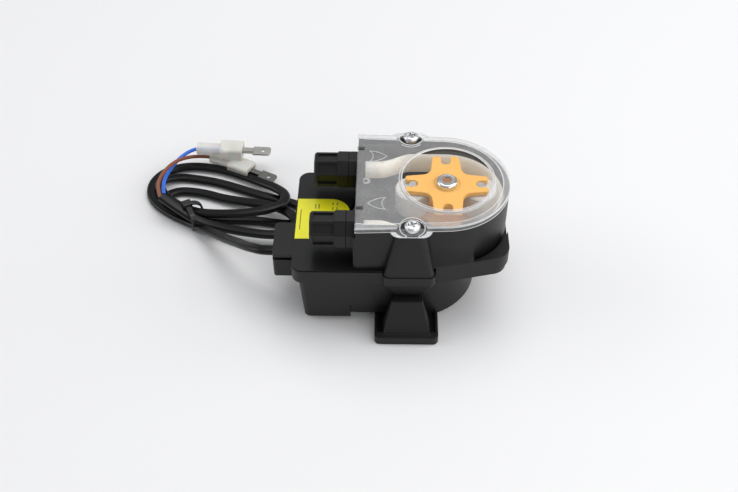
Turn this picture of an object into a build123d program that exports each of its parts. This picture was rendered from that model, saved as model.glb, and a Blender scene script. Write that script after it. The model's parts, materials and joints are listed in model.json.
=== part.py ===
from build123d import *
from math import acos, atan2, cos, degrees, pi, radians, sin, sqrt, tan
import os

# Peristaltic dosing pump with a clear cover, lying on its wall bracket.
# Frame: origin on the bracket's wall face, midway between its two feet.
# +Z points from the wall towards the clear cover, +X from the cord entry towards the pump head.

os.makedirs("parts", exist_ok=True)

# Heights above the wall face
bracket_base = 2.3
drum_bottom = 2.3
box_bottom = 2.8
rim_bottom = 27.3
head_split = 31.0
box_split = 34.3
box_top = 34.8
corner_top = 38.3
track_floor = 39.5
head_top = 57.5
cover_top = 60.15
lens_top = 61.3
fitting_height = 48.3

# Plan of the pump head, shaped like a D
head_left = -23.15
head_half_width = 31.6
head_radius = 30.0
head_arc_x = 15.5
head_inset = 0.3

# Plan of the housings
box_left = -51.8
box_half_depth = 33.0
rim_slant_start = (14.25, 32.9)
rim_corner = (45.45, 25.8)
rim_corner_radius = 8.0
drum_x = 1.5
drum_radius = 31.0
wall = 2.0
split_x = 12.4

# Screws that hold the cover, and the pair below that hold the housings together
screw_x = 1.5
screw_y = 29.5
screw_radius = 1.95
screw_end = 41.0
housing_screw_y = 31.6
housing_screw_radius = 1.45

# Rotor, rollers and track
rotor_x = 17.25
track_radius = 26.4
arm_reach = 18.5
arm_slot_width = 4.25
pin_circle = 15.2
pin_radius = 2.1
roller_radius = 7.75
running_gap = 0.05
spider_top = 58.0
spider_bottom = 40.2
roller_low = 42.9
roller_high = 55.3
shaft_radius = 3.0
shaft_low = 23.1

# Pump tube: 8 mm outside, 4.8 mm bore, pressed to twice its wall where the rollers sweep
tube_radius = 4.0
tube_bore = 2.4
tube_pressed = 3.2
tube_gap = 0.1

# Tube fittings
fitting_y = 19.7
collar_radius = 8.7
nut_radius = 8.15
nut_outer_end = -43.25
nut_step = -32.15
nut_inner_end = -27.25
stud_radius = 5.9
hose_bore = 3.15
flat_floor = 6.75

# Gear train
module = 0.5
magnet_pinion_teeth = 12
gear_teeth = 40
gear_pinion_teeth = 12
output_teeth = 50
gear_face_low = 25.6
gear_face_high = 28.6
output_face_low = 29.6
output_face_high = 33.0
tooth_share = 0.42
axle_radius = 1.25

# Motor
motor_radius = 28.0
motor_low = 4.5
motor_high = 23.0
plate_thickness = 1.2
upper_plate_low = 34.8

# Cable block, cord and leads
block_left = -61.0
block_front = -22.0
block_back = -1.0
block_top = 33.5
block_bottom = 20.0
lip_bottom = 32.0
lip_root = -49.0
cord_width = 5.2
cord_thickness = 3.2
cord_y = -13.0
cord_z = 27.4
wire_radius = 0.95


def head_plan(inset):
    """Face of the D-shaped head plan, moved inwards by inset."""
    left = head_left + inset
    half = head_half_width - inset
    radius = head_radius - inset
    reach = sqrt((left - head_arc_x) ** 2 + half**2)
    angle = atan2(half, left - head_arc_x) - acos(radius / reach)
    touch_x = head_arc_x + radius * cos(angle)
    touch_y = radius * sin(angle)
    with BuildLine() as outline:
        Polyline((touch_x, touch_y), (left, half), (left, -half), (touch_x, -touch_y))
        ThreePointArc((touch_x, -touch_y), (head_arc_x + radius, 0), (touch_x, touch_y))
    make_face(outline.edges())


def rim_plan(inset):
    """Face of the rim that runs round both housings, moved inwards by inset."""
    slant_x, slant_y = rim_slant_start
    corner_x, corner_y = rim_corner
    with BuildLine() as outline:
        Polyline(
            (box_left, -box_half_depth),
            (slant_x - 4, -box_half_depth),
            (slant_x, -slant_y),
            (corner_x, -corner_y),
            (corner_x, corner_y),
            (slant_x, slant_y),
            (slant_x - 4, box_half_depth),
            (box_left, box_half_depth),
            close=True,
        )
    make_face(outline.edges())
    fillet(vertices().group_by(Axis.X)[-1], radius=rim_corner_radius)
    fillet(vertices().group_by(Axis.X)[0], radius=5)
    if inset:
        offset(amount=-inset, mode=Mode.REPLACE)


def track_plan():
    """Face of the hollow that the tube and the rotor lie in."""
    with Locations((rotor_x, 0)):
        Circle(track_radius)
        Rectangle(38.15, 2 * track_radius, align=(Align.MAX, Align.CENTER))


def arrow_plan(side):
    """Curved arrowhead with a notched tail, pointing along +X at the back and -X at the front."""
    with BuildLine(Plane(origin=(arrow_x, side * arrow_y, 0), x_dir=(side, 0, 0))) as outline:
        ThreePointArc((-4.2, 3.9), (0.6, 2.9), (4.4, 0))
        ThreePointArc((4.4, 0), (0.6, -2.9), (-4.2, -3.9))
        ThreePointArc((-4.2, -3.9), (-2.4, 0), (-4.2, 3.9))
    make_face(outline.edges())


def gear_plan(teeth, first_tooth):
    """Gear face with straight-flanked teeth; first_tooth is one tooth's direction in degrees."""
    pitch = module * teeth / 2
    root = pitch - 1.25 * module
    tip = pitch + 0.9 * module
    half_tooth = tooth_share * pi * module / 2
    flank = tan(radians(20))
    at_tip = half_tooth - 0.9 * module * flank
    at_root = half_tooth + 1.25 * module * flank
    Circle(root)
    with PolarLocations(0, teeth, start_angle=first_tooth):
        Polygon((root - 0.2, -at_root), (tip, -at_tip), (tip, at_tip), (root - 0.2, at_root), align=None)


def spider_plan():
    """Four-armed rotor plate, the arms widening to the hub and slotted at their ends."""
    for turn, tip, root in ((0, 5.0, 7.4), (90, 6.1, 7.8), (180, 5.0, 7.4), (270, 6.1, 7.8)):
        with Locations(Rotation(0, 0, turn)):
            Polygon((0, -root), (arm_reach, -tip), (arm_reach, tip), (0, root), align=None)
    inner = vertices().sort_by(lambda v: v.X**2 + v.Y**2)[:4]
    fillet(inner, radius=4.2)
    with PolarLocations(0, 4):
        with Locations((pin_circle, 0)):
            Rectangle(12, arm_slot_width, align=(Align.MIN, Align.CENTER), mode=Mode.SUBTRACT)
            Circle(arm_slot_width / 2, mode=Mode.SUBTRACT)
    tips = vertices().filter_by(lambda v: max(abs(v.X), abs(v.Y)) > arm_reach - 0.01)
    fillet(tips, radius=1.25)


# ---------------------------------------------------------------- housings

with BuildPart() as upper_housing:
    with BuildSketch(Plane.XY.offset(box_split)):
        head_plan(head_inset)
    extrude(amount=head_top - box_split)
    # Screw towers, wider at the foot
    for side in (-1, 1):
        with BuildSketch(Plane.XY.offset(box_split)):
            with Locations((screw_x - 0.9, side * 25)):
                RectangleRounded(22.4, 21.8, 2.6)
        with BuildSketch(Plane.XY.offset(head_top)):
            with Locations((screw_x - 0.5, side * 25)):
                RectangleRounded(14.0, 17.2, 5.0)
        loft()
    # Lid of the wiring box, lapping the lower housing's rim
    with BuildSketch(Plane.XY.offset(box_split)):
        rim_plan(0.45)
        with Locations((split_x, 0)):
            Rectangle(60, 90, align=(Align.MIN, Align.CENTER), mode=Mode.SUBTRACT)
    extrude(amount=box_top - box_split)
    with BuildSketch(Plane.XY.offset(32.8)):
        rim_plan(2.5)
        with Locations((split_x - 0.5, 0)):
            Rectangle(60, 90, align=(Align.MIN, Align.CENTER), mode=Mode.SUBTRACT)
    extrude(amount=box_split - 32.8)
    # Skirt and square corners round the right end of the head
    with BuildSketch(Plane.XY.offset(head_split)):
        rim_plan(0)
        with Locations((split_x, 0)):
            Rectangle(90, 90, align=(Align.MAX, Align.CENTER), mode=Mode.SUBTRACT)
    extrude(amount=corner_top - head_split)
    # Flare that blends the skirt into the head wall beside each tower
    with BuildSketch(Plane.XY.offset(corner_top)):
        rim_plan(0)
        with Locations((split_x, 0)):
            Rectangle(90, 90, align=(Align.MAX, Align.CENTER), mode=Mode.SUBTRACT)
        with Locations((28.5, 0)):
            Rectangle(60, 90, align=(Align.MIN, Align.CENTER), mode=Mode.SUBTRACT)
    extrude(amount=3.4, taper=38)
    # Thin rib down the head's front left edge
    with Locations((head_left + head_inset - 0.6, -head_half_width + 1.3, box_split)):
        Box(1.2, 1.4, 18.5, align=(Align.CENTER, Align.CENTER, Align.MIN))
    # Crescent gap between the head wall and each square corner
    with BuildSketch(Plane.XY.offset(corner_top)):
        with Locations((head_arc_x, 0)):
            Circle(31.6)
            Circle(head_radius - head_inset, mode=Mode.SUBTRACT)
        with Locations((29.5, 0)):
            Rectangle(90, 90, align=(Align.MAX, Align.CENTER), mode=Mode.SUBTRACT)
    extrude(amount=-4.2, mode=Mode.SUBTRACT)
    # Hollow for tube and rotor
    with BuildSketch(Plane.XY.offset(track_floor)):
        track_plan()
    extrude(amount=30, mode=Mode.SUBTRACT)
    # Underside, open over the gearbox
    with BuildSketch(Plane.XY.offset(head_split - 1)):
        with Locations((drum_x, 0)):
            Circle(drum_radius - wall)
    extrude(amount=36.6 - head_split + 1, mode=Mode.SUBTRACT)
    # Shaft opening with a seat for the seal above it
    with Locations((rotor_x, 0, 36.6)):
        Hole(4.2, depth=10)
    with BuildSketch(Plane.XY.offset(37.4)):
        with Locations((rotor_x, 0)):
            Circle(5.6)
    extrude(amount=5, mode=Mode.SUBTRACT)
    # Openings for the two tube fittings
    for side in (-1, 1):
        with BuildSketch(Plane.YZ.offset(head_left - 2)):
            with Locations((side * fitting_y, fitting_height)):
                Circle(5.0)
        extrude(amount=6, mode=Mode.SUBTRACT)
    # Screw holes
    with BuildSketch(Plane.XY.offset(screw_end - 0.5)):
        with Locations((screw_x, screw_y), (screw_x, -screw_y)):
            Circle(screw_radius + running_gap)
    extrude(amount=30, mode=Mode.SUBTRACT)
    with BuildSketch(Plane.XY.offset(32.8)):
        with Locations((screw_x, housing_screw_y), (screw_x, -housing_screw_y)):
            Circle(housing_screw_radius + running_gap)
    extrude(amount=7.3, mode=Mode.SUBTRACT)
    # Lip of the cable block above its slot, hung from the lid through a notch in the rim
    with BuildSketch(Plane.XY.offset(lip_bottom)):
        with Locations(((block_left + lip_root) / 2, (block_front + block_back) / 2)):
            Rectangle(lip_root - block_left, block_back - block_front)
        fillet(vertices().group_by(Axis.X)[0], radius=1.6)
    extrude(amount=block_top - lip_bottom)
    with BuildSketch(Plane.XY.offset(lip_bottom)):
        with Locations(((box_left + 0.5 + lip_root) / 2, (block_front + block_back) / 2)):
            Rectangle(lip_root - box_left - 0.5, block_back - block_front)
    extrude(amount=box_top - lip_bottom)
upper_housing.part.label = "upper_housing"
export_step(upper_housing.part, "parts/upper_housing.step")

with BuildPart() as lower_housing:
    # Rim, full height along the wiring box and lower under the head
    with BuildSketch(Plane.XY.offset(rim_bottom)):
        rim_plan(0)
        with Locations((split_x, 0)):
            Rectangle(60, 90, align=(Align.MIN, Align.CENTER), mode=Mode.SUBTRACT)
    extrude(amount=box_split - rim_bottom)
    with BuildSketch(Plane.XY.offset(rim_bottom)):
        rim_plan(0.9)
    extrude(amount=head_split - rim_bottom)
    # Wiring box with a drafted end wall
    with BuildSketch(Plane.XY.offset(box_bottom)):
        with Locations((-36.5, 0)):
            Rectangle(21.5, 62.8)
        fillet(vertices().group_by(Axis.X)[0], radius=3)
    with BuildSketch(Plane.XY.offset(rim_bottom)):
        with Locations((-37.75, 0)):
            Rectangle(22.5, 64.2)
        fillet(vertices().group_by(Axis.X)[0], radius=3.5)
    loft()
    # Stretch between box and drum, stepped in along its lower edge
    for low, depth in ((11.4, 64.0), (5.0, 61.4)):
        with BuildSketch(Plane.XY.offset(low)):
            with Locations((-13, 0)):
                Rectangle(28, depth)
        extrude(amount=rim_bottom - low)
    # Motor drum
    with BuildSketch(Plane.XY.offset(drum_bottom)):
        with Locations((drum_x, 0)):
            Circle(drum_radius)
    extrude(amount=rim_bottom - drum_bottom)
    # Lower screw bosses, narrowing towards the bracket's latches
    for side in (-1, 1):
        with BuildSketch(Plane.XY.offset(22)):
            with Locations((screw_x - 0.9, side * 27)):
                RectangleRounded(15.4, 15.4, 2.6)
        with BuildSketch(Plane.XY.offset(29.5)):
            with Locations((screw_x - 0.9, side * 27)):
                RectangleRounded(23.4, 18.6, 2.6)
        loft()
        with BuildSketch(Plane.XY.offset(29.5)):
            with Locations((screw_x - 0.9, side * 27)):
                RectangleRounded(23.4, 18.6, 2.6)
        extrude(amount=box_split - 29.5)
        # Ledge that the bracket's latch hooks over
        with BuildSketch(Plane.XY.offset(12.5)):
            with Locations((screw_x - 1, side * 29.5)):
                Rectangle(13, 7.4)
        extrude(amount=3.5)
    # Cable block
    with BuildSketch(Plane.XY.offset(block_bottom)):
        with Locations(((block_left - 47) / 2, (block_front + block_back) / 2)):
            Rectangle(-47 - block_left, block_back - block_front)
        fillet(vertices().group_by(Axis.X)[0], radius=1.6)
    extrude(amount=30.4 - block_bottom)
    # Inside of box and drum
    with BuildSketch(Plane.XY.offset(5)):
        with Locations((-35.2, 0)):
            Rectangle(23, 58)
        with Locations((-14, 0)):
            Rectangle(24, 40)
    extrude(amount=40, mode=Mode.SUBTRACT)
    with BuildSketch(Plane.XY.offset(4.5)):
        with Locations((drum_x, 0)):
            Circle(drum_radius - wall)
    extrude(amount=40, mode=Mode.SUBTRACT)
    with BuildSketch(Plane.XY.offset(32.7)):
        rim_plan(2.4)
        with Locations((split_x - 0.4, 0)):
            Rectangle(60, 90, align=(Align.MIN, Align.CENTER), mode=Mode.SUBTRACT)
    extrude(amount=5, mode=Mode.SUBTRACT)
    # Cord entry through the block
    with BuildSketch(Plane.YZ.offset(block_left - 1)):
        with Locations((cord_y, cord_z)):
            SlotOverall(cord_width, cord_thickness)
    extrude(amount=20, mode=Mode.SUBTRACT)
    # Notch in the rim for the lip of the cable block
    with BuildSketch(Plane.XY.offset(lip_bottom - 0.1)):
        with Locations((lip_root + 0.1, (block_front + block_back) / 2)):
            Rectangle(5, block_back - block_front + 0.1, align=(Align.MAX, Align.CENTER))
    extrude(amount=5, mode=Mode.SUBTRACT)
    # Sunk holes under the bosses for the housing screws
    with BuildSketch(Plane.XY.offset(21)):
        with Locations((screw_x, housing_screw_y), (screw_x, -housing_screw_y)):
            Circle(2.8)
    extrude(amount=4.5, mode=Mode.SUBTRACT)
    with BuildSketch(Plane.XY.offset(21)):
        with Locations((screw_x, housing_screw_y), (screw_x, -housing_screw_y)):
            Circle(housing_screw_radius + 0.1)
    extrude(amount=20, mode=Mode.SUBTRACT)
lower_housing.part.label = "lower_housing"
export_step(lower_housing.part, "parts/lower_housing.step")

# ---------------------------------------------------------------- cover and its screws

border_width = 3.0
flat_top = cover_top - 0.35
tab_top = 58.9
lens_radius = 21.5
arrow_x = -13.8
arrow_y = 15.6

with BuildPart() as cover:
    with BuildSketch(Plane.XY.offset(head_top)):
        head_plan(0)
    extrude(amount=cover_top - head_top)
    chamfer(cover.faces().sort_by(Axis.Z)[-1].edges(), length=0.5)
    # Flat area sunk a little below the border
    with BuildSketch(Plane.XY.offset(cover_top)):
        head_plan(border_width)
    extrude(amount=-0.35, mode=Mode.SUBTRACT)
    # Raised round window with a bead round it
    with BuildSketch(Plane.XY.offset(flat_top)):
        with Locations((rotor_x, 0)):
            Circle(lens_radius)
    extrude(amount=1.2)
    with BuildSketch(Plane.XZ.offset(0)):
        with Locations((rotor_x + lens_radius - 0.9, lens_top - 0.9)):
            Circle(0.9)
    revolve(axis=Axis((rotor_x, 0, 0), (0, 0, 1)))
    # Tabs over the screw towers and the scallops that sink the screw heads
    for side in (-1, 1):
        with BuildSketch(Plane.XY.offset(head_top)):
            with Locations((screw_x - 0.5, side * 27)):
                RectangleRounded(18.4, 14.2, 4.5)
        extrude(amount=tab_top - head_top)
        with BuildSketch(Plane.XY.offset(tab_top)):
            with Locations((screw_x, side * (screw_y + 0.6))):
                Circle(5.6)
            with Locations((screw_x, side * (screw_y + 6.5))):
                Circle(8.6)
        extrude(amount=5, mode=Mode.SUBTRACT)
    # Flow arrows beside the two fittings, into the head at the back and out at the front
    for side in (-1, 1):
        with BuildSketch(Plane.XY.offset(flat_top)):
            arrow_plan(side)
            offset(amount=-0.55, mode=Mode.SUBTRACT)
        extrude(amount=0.35)
    # Gate mark and two snap lugs on the left edge
    with Locations((-18.9, -1.2, flat_top)):
        Cylinder(2.0, 0.3, align=(Align.CENTER, Align.CENTER, Align.MIN))
        Cylinder(0.8, 0.3, align=(Align.CENTER, Align.CENTER, Align.MIN), mode=Mode.SUBTRACT)
    with Locations((head_left, 20.7, flat_top), (head_left, -18.8, flat_top)):
        Box(3.4, 1.9, 0.9, align=(Align.MIN, Align.CENTER, Align.MIN))
    # Hollow underside over the rotor
    with BuildSketch(Plane.XY.offset(head_top)):
        track_plan()
        offset(amount=-0.4, mode=Mode.REPLACE)
    extrude(amount=1.1, mode=Mode.SUBTRACT)
    with BuildSketch(Plane.XY.offset(head_top)):
        with Locations((rotor_x, 0)):
            Circle(19.4)
    extrude(amount=2.75, mode=Mode.SUBTRACT)
    with Locations((screw_x, screw_y, tab_top), (screw_x, -screw_y, tab_top)):
        Hole(screw_radius + 0.2, depth=3)
cover.part.label = "cover"
export_step(cover.part, "parts/cover.step")

head_height = 2.3
with BuildPart() as cover_screws:
    for side in (-1, 1):
        with Locations((screw_x, side * screw_y, screw_end)):
            Cylinder(screw_radius, tab_top - screw_end, align=(Align.CENTER, Align.CENTER, Align.MIN))
        with BuildSketch(Plane.XY.offset(tab_top)):
            with Locations((screw_x, side * screw_y)):
                Circle(3.5)
        extrude(amount=head_height)
        fillet(cover_screws.faces().filter_by(lambda f: f.center().Z > tab_top + 2).edges(), radius=1.4)
    # Cross recesses
    with BuildSketch(Plane.XY.offset(tab_top + head_height)):
        with Locations((screw_x, screw_y), (screw_x, -screw_y)):
            Rectangle(3.9, 0.95, rotation=20)
            Rectangle(0.95, 3.9, rotation=20)
    extrude(amount=-1.5, mode=Mode.SUBTRACT)
cover_screws.part.label = "cover_screws"
export_step(cover_screws.part, "parts/cover_screws.step")

with BuildPart() as housing_screws:
    for side in (-1, 1):
        with Locations((screw_x, side * housing_screw_y, 23.6)):
            Cylinder(housing_screw_radius, 16, align=(Align.CENTER, Align.CENTER, Align.MIN))
            Cylinder(2.6, 1.9, align=(Align.CENTER, Align.CENTER, Align.MIN))
            Box(3.4, 0.7, 1.0, align=(Align.CENTER, Align.CENTER, Align.MIN), mode=Mode.SUBTRACT)
housing_screws.part.label = "housing_screws"
export_step(housing_screws.part, "parts/housing_screws.step")

# ---------------------------------------------------------------- rotor

plate = 2.2
shoulder = spider_top - plate

with BuildPart() as spider_upper:
    with BuildSketch(Plane.XY.offset(shoulder)):
        spider_plan()
        Circle(2.1, mode=Mode.SUBTRACT)
    extrude(amount=plate)
    fillet(spider_upper.faces().sort_by(Axis.Z)[-1].outer_wire().edges(), radius=0.35)
    with BuildSketch(Plane.XY.offset(spider_top)):
        Circle(5.9)
    extrude(amount=-0.4, mode=Mode.SUBTRACT)
spider_upper.part.label = "spider_upper"
export_step(spider_upper.part.moved(Location((rotor_x, 0, 0))), "parts/spider_upper.step")

with BuildPart() as spider_lower:
    with BuildSketch(Plane.XY.offset(spider_bottom)):
        spider_plan()
    extrude(amount=plate)
    with BuildSketch(Plane.XY.offset(spider_bottom)):
        Circle(5.4)
    extrude(amount=shoulder - spider_bottom)
    with Locations((0, 0, shoulder)):
        Hole(shaft_radius + 0.02, depth=20)
spider_lower.part.label = "spider_lower"
export_step(spider_lower.part.moved(Location((rotor_x, 0, 0))), "parts/spider_lower.step")

with BuildPart() as roller_pins:
    with BuildSketch(Plane.XY.offset(spider_bottom)):
        with Locations((rotor_x - pin_circle, 0), (rotor_x + pin_circle, 0)):
            Circle(pin_radius)
    extrude(amount=spider_top - 0.5 - spider_bottom)
    chamfer(roller_pins.faces().group_by(Axis.Z)[-1].edges(), length=0.4)
roller_pins.part.label = "roller_pins"
export_step(roller_pins.part, "parts/roller_pins.step")

for name, side in (("roller_left", -1), ("roller_right", 1)):
    with BuildPart() as roller:
        with BuildSketch(Plane.XY.offset(roller_low)):
            Circle(roller_radius)
        extrude(amount=roller_high - roller_low)
        chamfer(roller.edges(), length=0.7)
        with BuildSketch(Plane.XY.offset(roller_low - 0.4)):
            Circle(3.2)
        extrude(amount=roller_high - roller_low + 0.8)
        with Locations((0, 0, roller_high + 0.4)):
            Hole(pin_radius + running_gap, depth=20)
    roller.part.label = name
    export_step(roller.part.moved(Location((rotor_x + side * pin_circle, 0, 0))), f"parts/{name}.step")

with BuildPart() as rotor_cap:
    with BuildSketch(Plane.XZ):
        with BuildLine():
            Polyline((2.08, 57.62), (4.75, 57.62), (4.75, 58.9))
            ThreePointArc((4.75, 58.9), (4.35, 59.8), (3.3, 60.1))
            Polyline((3.3, 60.1), (2.08, 60.1), (2.08, 57.62))
        make_face()
    revolve(axis=Axis.Z)
rotor_cap.part.label = "rotor_cap"
export_step(rotor_cap.part.moved(Location((rotor_x, 0, 0))), "parts/rotor_cap.step")

with BuildPart() as output_shaft:
    with BuildSketch(Plane.XY.offset(shaft_low)):
        with Locations((rotor_x, 0)):
            Circle(shaft_radius)
    extrude(amount=shoulder - shaft_low)
    with BuildSketch(Plane.XY.offset(shoulder)):
        with Locations((rotor_x, 0)):
            Circle(2.05)
    extrude(amount=59.7 - shoulder)
output_shaft.part.label = "output_shaft"
export_step(output_shaft.part, "parts/output_shaft.step")

with BuildPart() as shaft_seal:
    with BuildSketch(Plane.XZ):
        with BuildLine():
            Polyline(
                (shaft_radius + running_gap, 38.6),
                (shaft_radius + running_gap, 39.3),
                (5.55, 39.3),
                (5.55, 37.45),
                (4.3, 37.45),
                (4.3, 38.6),
                close=True,
            )
        make_face()
    revolve(axis=Axis.Z)
shaft_seal.part.label = "shaft_seal"
export_step(shaft_seal.part.moved(Location((rotor_x, 0, 0))), "parts/shaft_seal.step")

# ---------------------------------------------------------------- pump tube

pressed_y = track_radius - tube_gap - tube_pressed / 2
pressed_height = tube_pressed + pi * (tube_radius - tube_pressed / 2)
pressed_end = 2.0
round_end = -13.0
tube_mouth = -19.6
stations = 5

with BuildPart() as pump_tube:
    with BuildSketch(Plane.YZ.offset(rotor_x)):
        with Locations((-pressed_y, fitting_height)):
            Ellipse(tube_pressed / 2, pressed_height / 2)
    revolve(axis=Axis((rotor_x, 0, 0), (0, 0, 1)), revolution_arc=180)
    for side in (-1, 1):
        with BuildSketch(Plane.YZ.offset(pressed_end)):
            with Locations((side * pressed_y, fitting_height)):
                Ellipse(tube_pressed / 2, pressed_height / 2)
        extrude(amount=rotor_x - pressed_end)
        # From the pressed oval to the round tube
        for step in range(stations):
            share = step / (stations - 1)
            ease = share * share * (3 - 2 * share)
            with BuildSketch(Plane.YZ.offset(pressed_end + share * (round_end - pressed_end))):
                with Locations((side * (pressed_y + ease * (fitting_y - pressed_y)), fitting_height)):
                    Ellipse(
                        tube_pressed / 2 + ease * (tube_radius - tube_pressed / 2),
                        pressed_height / 2 + ease * (tube_radius - pressed_height / 2),
                    )
        loft()
        with BuildSketch(Plane.YZ.offset(tube_mouth)):
            with Locations((side * fitting_y, fitting_height)):
                Circle(tube_radius)
        extrude(amount=round_end - tube_mouth)
        with BuildSketch(Plane.YZ.offset(tube_mouth)):
            with Locations((side * fitting_y, fitting_height)):
                Circle(tube_bore)
        extrude(amount=9, mode=Mode.SUBTRACT)
pump_tube.part.label = "pump_tube"
export_step(pump_tube.part, "parts/pump_tube.step")

# ---------------------------------------------------------------- tube fittings

stud_end = -38.0
head_face = head_left + head_inset
inner_face = rotor_x - 38.15

for name, side in (("inlet", 1), ("outlet", -1)):
    bore_axis = Axis((0, side * fitting_y, fitting_height), (1, 0, 0))
    section_plane = Plane(origin=(0, side * fitting_y, fitting_height), x_dir=(1, 0, 0), z_dir=(0, -1, 0))
    with BuildPart() as fitting:
        with BuildSketch(section_plane):
            with BuildLine():
                Polyline(
                    (stud_end, hose_bore),
                    (stud_end, stud_radius),
                    (nut_inner_end + 0.1, stud_radius),
                    (nut_inner_end + 0.1, 7.8),
                    (head_face, 7.8),
                    (head_face, 4.95),
                    (inner_face, 4.95),
                    (inner_face, 5.6),
                    (tube_mouth - 0.1, 5.6),
                    (tube_mouth - 0.1, tube_bore - 0.05),
                    (round_end, tube_bore - 0.05),
                    (round_end, 1.6),
                    (-30, 1.6),
                    (-30, hose_bore),
                    close=True,
                )
            make_face()
        revolve(axis=bore_axis)
        with BuildSketch(Plane.YZ.offset(nut_inner_end + 0.1)):
            with Locations((side * fitting_y, fitting_height)):
                RegularPolygon(collar_radius + 0.2, 8, rotation=22.5)
                Circle(5, mode=Mode.SUBTRACT)
        extrude(amount=head_face - nut_inner_end - 0.1)
    fitting.part.label = f"{name}_fitting"
    export_step(fitting.part, f"parts/{name}_fitting.step")

    with BuildPart() as nut:
        with BuildSketch(Plane.YZ.offset(nut_step)):
            with Locations((side * fitting_y, fitting_height)):
                RegularPolygon(collar_radius + 0.2, 8, rotation=22.5)
        extrude(amount=nut_inner_end - nut_step)
        with BuildSketch(Plane.YZ.offset(nut_outer_end)):
            with Locations((side * fitting_y, fitting_height)):
                RegularPolygon(nut_radius + 0.2, 8, rotation=22.5)
        extrude(amount=nut_step - nut_outer_end)
        fillet(nut.faces().sort_by(Axis.X)[0].edges(), radius=1.6)
        # Finger flats sunk between eight ribs
        with BuildSketch(Plane.YZ.offset(nut_outer_end + 1.7)):
            with Locations((side * fitting_y, fitting_height)):
                with PolarLocations(flat_floor, 8):
                    Rectangle(3, 4.3, align=(Align.MIN, Align.CENTER))
        extrude(amount=nut_step - nut_outer_end - 2.3, mode=Mode.SUBTRACT)
        with BuildSketch(Plane.YZ.offset(nut_inner_end)):
            with Locations((side * fitting_y, fitting_height)):
                Circle(stud_radius + 0.1)
        extrude(amount=-12.8, mode=Mode.SUBTRACT)
        with BuildSketch(Plane.YZ.offset(nut_outer_end)):
            with Locations((side * fitting_y, fitting_height)):
                Circle(hose_bore)
        extrude(amount=5, mode=Mode.SUBTRACT)
    nut.part.label = f"{name}_nut"
    export_step(nut.part, f"parts/{name}_nut.step")

    with BuildPart() as ferrule:
        with BuildSketch(section_plane):
            with BuildLine():
                Polyline(
                    (-39.8, hose_bore),
                    (-39.8, 5.4),
                    (-39.0, 5.4),
                    (-38.1, 4.6),
                    (-38.1, hose_bore),
                    close=True,
                )
            make_face()
        revolve(axis=bore_axis)
    ferrule.part.label = f"{name}_ferrule"
    export_step(ferrule.part, f"parts/{name}_ferrule.step")

# ---------------------------------------------------------------- gear train

gear_1_reach = module * (magnet_pinion_teeth + gear_teeth) / 2
output_reach = module * (gear_pinion_teeth + output_teeth) / 2
span = rotor_x - drum_x
gear_1_along = (gear_1_reach**2 - output_reach**2 + span**2) / (2 * span)
gear_1_x = drum_x + gear_1_along
gear_1_y = sqrt(gear_1_reach**2 - gear_1_along**2)
to_gear_1 = degrees(atan2(gear_1_y, gear_1_along))
from_output = degrees(atan2(gear_1_y, gear_1_x - rotor_x))
print(f"gear_1 axis at x {gear_1_x:.4f}, y {gear_1_y:.4f}")

with BuildPart() as output_gear:
    with BuildSketch(Plane.XY.offset(output_face_low)):
        gear_plan(output_teeth, from_output)
        Circle(shaft_radius + 0.02, mode=Mode.SUBTRACT)
    extrude(amount=output_face_high - output_face_low)
    with BuildSketch(Plane.XY.offset(output_face_high)):
        Circle(10.2)
        Circle(4.6, mode=Mode.SUBTRACT)
    extrude(amount=-0.8, mode=Mode.SUBTRACT)
output_gear.part.label = "output_gear"
export_step(output_gear.part.moved(Location((rotor_x, 0, 0))), "parts/output_gear.step")

with BuildPart() as reduction_gear:
    with BuildSketch(Plane.XY.offset(gear_face_low)):
        gear_plan(gear_teeth, to_gear_1 + 180)
    extrude(amount=gear_face_high - gear_face_low)
    with BuildSketch(Plane.XY.offset(gear_face_high)):
        gear_plan(gear_pinion_teeth, from_output + 180 + 180 / gear_pinion_teeth)
    extrude(amount=output_face_high - gear_face_high)
    with Locations((0, 0, output_face_high)):
        Hole(axle_radius + running_gap, depth=20)
reduction_gear.part.label = "reduction_gear"
export_step(reduction_gear.part.moved(Location((gear_1_x, gear_1_y, 0))), "parts/reduction_gear.step")

with BuildPart() as reduction_pin:
    with BuildSketch(Plane.XY.offset(motor_high + plate_thickness)):
        with Locations((gear_1_x, gear_1_y)):
            Circle(axle_radius)
    extrude(amount=upper_plate_low - motor_high - plate_thickness)
reduction_pin.part.label = "reduction_pin"
export_step(reduction_pin.part, "parts/reduction_pin.step")

# Steel plates that close the motor and carry the gears
post_radius = 2.0
post_angles = (130, 200, 300)
for name, low, radius, opening in (
    ("gear_plate_lower", motor_high, motor_radius, 4.4),
    ("gear_plate_upper", upper_plate_low, motor_radius - 0.9, 1.55),
):
    with BuildPart() as gear_plate:
        with BuildSketch(Plane.XY.offset(low)):
            with Locations((drum_x, 0)):
                Circle(radius)
                Circle(opening, mode=Mode.SUBTRACT)
            with Locations((rotor_x, 0)):
                Circle(4.5, mode=Mode.SUBTRACT)
        extrude(amount=plate_thickness)
    gear_plate.part.label = name
    export_step(gear_plate.part, f"parts/{name}.step")

    with BuildPart() as bush:
        with BuildSketch(Plane.XY.offset(low)):
            Circle(4.5)
            Circle(shaft_radius + running_gap, mode=Mode.SUBTRACT)
        extrude(amount=plate_thickness)
        with BuildSketch(Plane.XY.offset(low + plate_thickness)):
            Circle(5.4)
            Circle(shaft_radius + running_gap, mode=Mode.SUBTRACT)
        extrude(amount=0.5)
    bush_name = name.replace("gear_plate", "shaft_bush")
    bush.part.label = bush_name
    export_step(bush.part.moved(Location((rotor_x, 0, 0))), f"parts/{bush_name}.step")

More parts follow.
